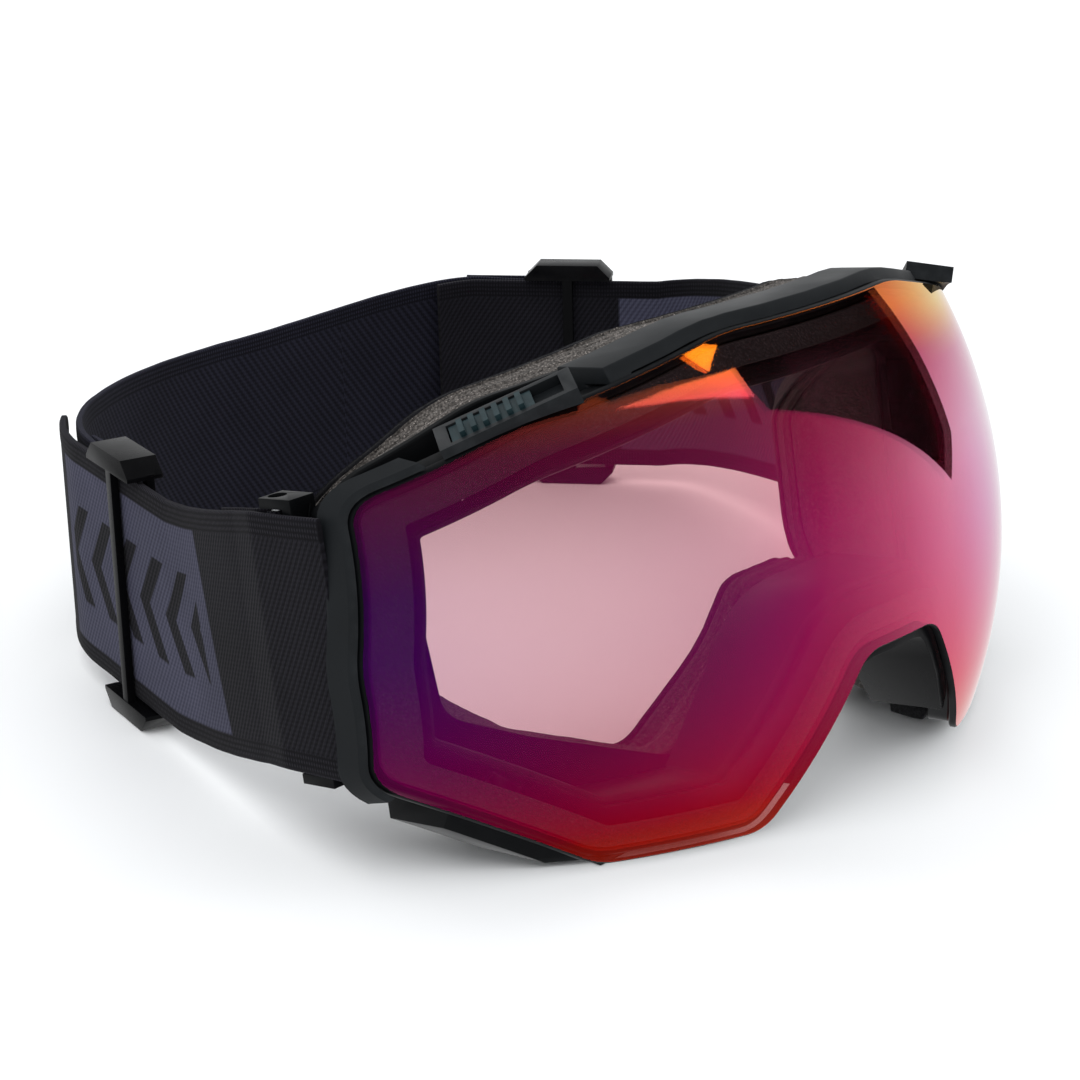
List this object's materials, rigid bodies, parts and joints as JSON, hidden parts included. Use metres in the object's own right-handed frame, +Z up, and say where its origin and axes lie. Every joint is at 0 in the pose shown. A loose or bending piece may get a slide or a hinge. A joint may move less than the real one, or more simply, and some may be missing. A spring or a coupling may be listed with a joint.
{
  "type": "ski goggles",
  "caption": "Spherical-lens ski goggles: magnetic double lens on a moulded frame, foam face pad with fleece, elastic strap with sliding adjusters.",
  "frame": {"origin": "centre of the footprint's bounding box, on the surface that the goggles stand on", "axes": "the lens faces -Y, +X is the wearer's left, +Z is up; the goggles stand leaning back 8.5 degrees with the strap loop behind them"},
  "size_m": [0.2068, 0.2088, 0.0908],
  "materials": {
    "mirror_lens": "mirror-coated tinted outer lens, violet to red and yellow",
    "clear_lens": "clear rose inner lens",
    "frame_plastic": "satin black moulded frame",
    "rim_plastic": "black moulded rim",
    "teal_plastic": "dark teal ribbed plastic",
    "gloss_trim": "grey-black glossy plastic",
    "face_foam": "open-cell face foam",
    "vent_foam": "thin black vent and spacer foam",
    "fleece": "brushed black fleece",
    "strap_cloth": "woven elastic, black with slate panels",
    "thread": "black stitching",
    "steel": "plated steel",
    "magnet": "nickel-plated magnet"
  },
  "bodies": {
    "frame": {"frame": "frame_plastic", "brow_bar": "rim_plastic", "brow_vent_foam": "vent_foam", "side_cover_left": "frame_plastic", "side_cover_right": "frame_plastic", "nose_bridge": "gloss_trim", "lower_foot_left": "rim_plastic", "lower_foot_right": "rim_plastic", "lower_rail_left": "rim_plastic", "lower_rail_right": "rim_plastic", "lower_vent_foam_left": "vent_foam", "lower_vent_foam_right": "vent_foam", "foam_carrier": "rim_plastic", "face_foam": "face_foam", "comfort_foam": "face_foam", "face_fleece": "fleece", "release_housing_left": "frame_plastic", "release_housing_right": "frame_plastic", "strap_anchor_left": "rim_plastic", "strap_anchor_right": "rim_plastic", "anchor_pin_left": "steel", "anchor_pin_right": "steel", "front_strap_left": "strap_cloth", "front_strap_right": "strap_cloth", "rear_strap": "strap_cloth", "strap_bartack_left": "thread", "strap_bartack_right": "thread", "magnet_top_left": "magnet", "magnet_top_right": "magnet", "magnet_bottom_left": "magnet", "magnet_bottom_right": "magnet"},
    "lens": {"outer_lens": "mirror_lens", "inner_lens": "clear_lens", "lens_gasket": "vent_foam", "lens_carrier": "rim_plastic", "strike_plate_top_left": "steel", "strike_plate_top_right": "steel", "strike_plate_bottom_left": "steel", "strike_plate_bottom_right": "steel"},
    "release_slider_left": {"release_slider_left": "teal_plastic"},
    "strap_adjuster_left": {"strap_adjuster_left": "gloss_trim"},
    "release_slider_right": {"release_slider_right": "teal_plastic"},
    "strap_adjuster_right": {"strap_adjuster_right": "gloss_trim"}
  },
  "joints": [
    {"name": "lens_removal", "type": "slide", "parent": "frame", "child": "lens", "axis": [0, -0.989, 0.1478], "range_m": [0, 0.035]},
    {"name": "release_slide_right", "type": "slide", "parent": "frame", "child": "release_slider_right", "axis": [0.7012, -0.601, 0.3835], "range_m": [0, 0.005]},
    {"name": "release_slide_left", "type": "slide", "parent": "frame", "child": "release_slider_left", "axis": [-0.7012, -0.601, 0.3835], "range_m": [0, 0.005]},
    {"name": "adjuster_slide_right", "type": "slide", "parent": "frame", "child": "strap_adjuster_right", "axis": [0.2851, 0.9585, 0], "range_m": [-0.007, 0.007]},
    {"name": "adjuster_slide_left", "type": "slide", "parent": "frame", "child": "strap_adjuster_left", "axis": [-0.5593, 0.829, 0], "range_m": [-0.007, 0.007]}
  ]
}
